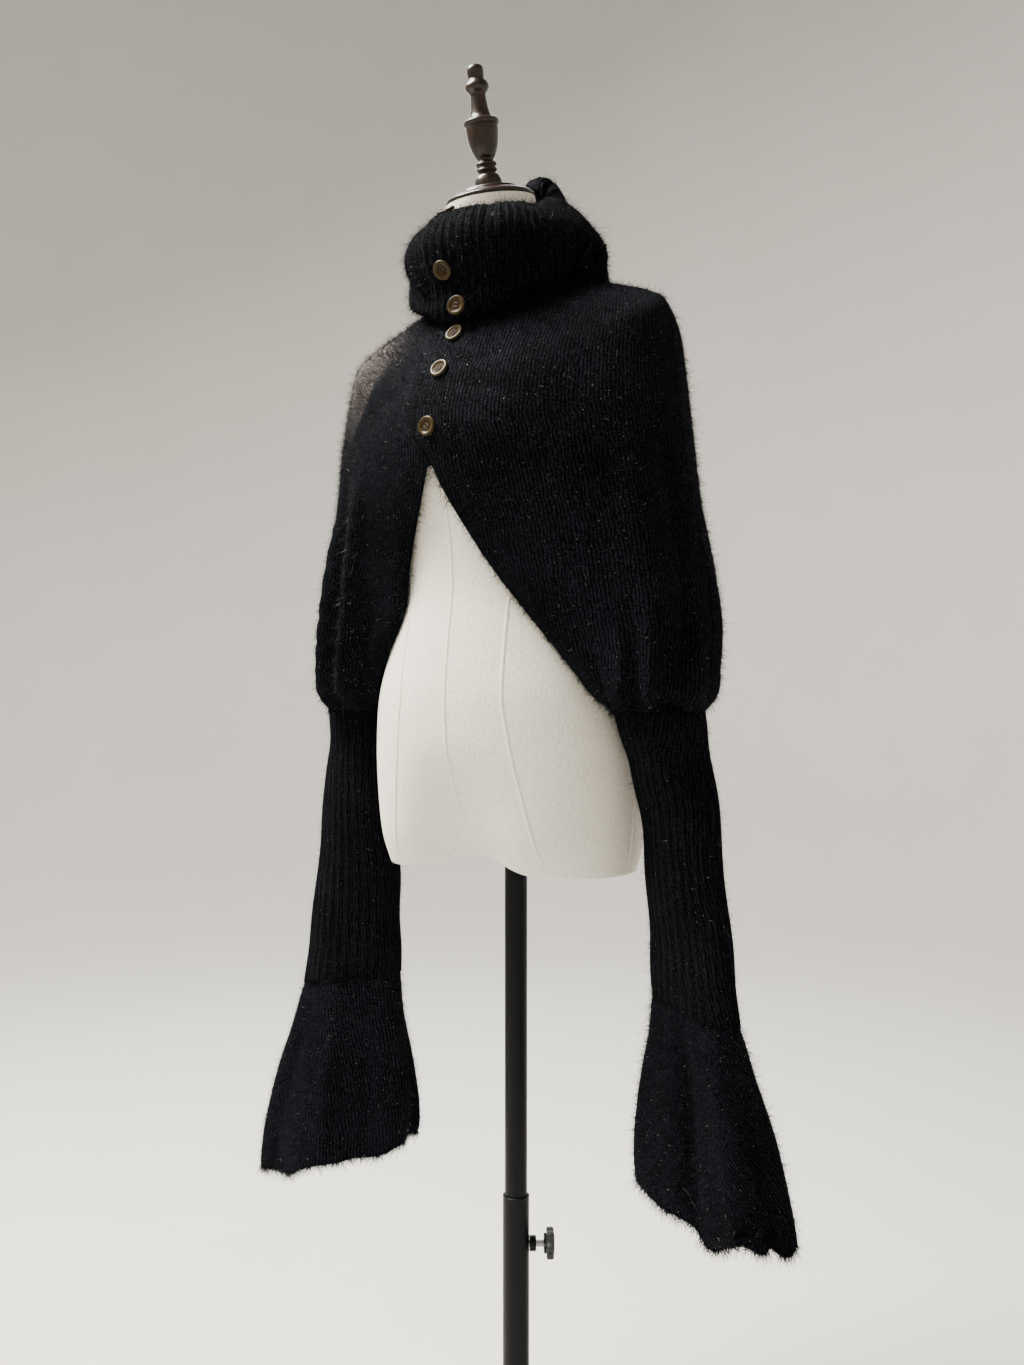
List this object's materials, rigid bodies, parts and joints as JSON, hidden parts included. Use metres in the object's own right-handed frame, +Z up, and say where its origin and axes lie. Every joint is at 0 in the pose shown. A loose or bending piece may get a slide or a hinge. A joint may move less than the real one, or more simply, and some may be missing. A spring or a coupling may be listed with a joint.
{
  "type": "knitted cape on a dress form",
  "caption": "Black knitted mohair cape with a tall ribbed collar, buttoned front, long ribbed cuffs and flared frills, worn by a limbless linen dress form on a telescopic stand.",
  "frame": {"origin": "centre of the base plate's underside, on the pole's axis", "axes": "+Z up along the pole, -Y towards the front, +X towards the wearer's left"},
  "size_m": [0.7062, 0.4, 1.684],
  "materials": {
    "mohair_knit": "brushed black mohair stockinette with fine bronze metallic glints",
    "mohair_rib": "brushed black mohair rib with fine bronze metallic glints",
    "linen": "off-white linen cover with stitched panel seams",
    "turned_wood": "varnished turned wood",
    "coated_steel": "black powder coat",
    "bright_steel": "bright zinc-plated steel",
    "moulded_plastic": "black moulded plastic",
    "horn": "polished horn-coloured resin"
  },
  "bodies": {
    "stand": {"base_plate": "coated_steel", "pole_lower": "coated_steel", "clamp_boss": "coated_steel"},
    "upper_pole": {"pole_upper": "coated_steel"},
    "form": {"torso": "linen", "neck_cap": "turned_wood", "finial": "turned_wood", "back_left": "mohair_knit", "back_right": "mohair_knit", "front_left": "mohair_knit", "front_right": "mohair_knit", "collar": "mohair_rib", "cuff_left": "mohair_rib", "cuff_right": "mohair_rib", "bell_left": "mohair_knit", "bell_right": "mohair_knit", "button_1": "horn", "button_2": "horn", "button_3": "horn", "button_4": "horn", "button_5": "horn", "button_6": "horn"},
    "knob": {"clamp_screw": "bright_steel", "clamp_knob": "moulded_plastic"}
  },
  "joints": [
    {"name": "pole_slide", "type": "slide", "parent": "stand", "child": "upper_pole", "axis": [0, 0, 1], "range_m": [-0.14, 0.14]},
    {"name": "form_swivel", "type": "hinge", "parent": "upper_pole", "child": "form", "pos_m": [0, 0, 0.82], "axis": [0, 0, 1], "continuous": true},
    {"name": "knob_turn", "type": "hinge", "parent": "stand", "child": "knob", "pos_m": [0.02487, 0.01678, 0.3855], "axis": [0.829, 0.5592, 0], "range_deg": [0, 720]}
  ]
}
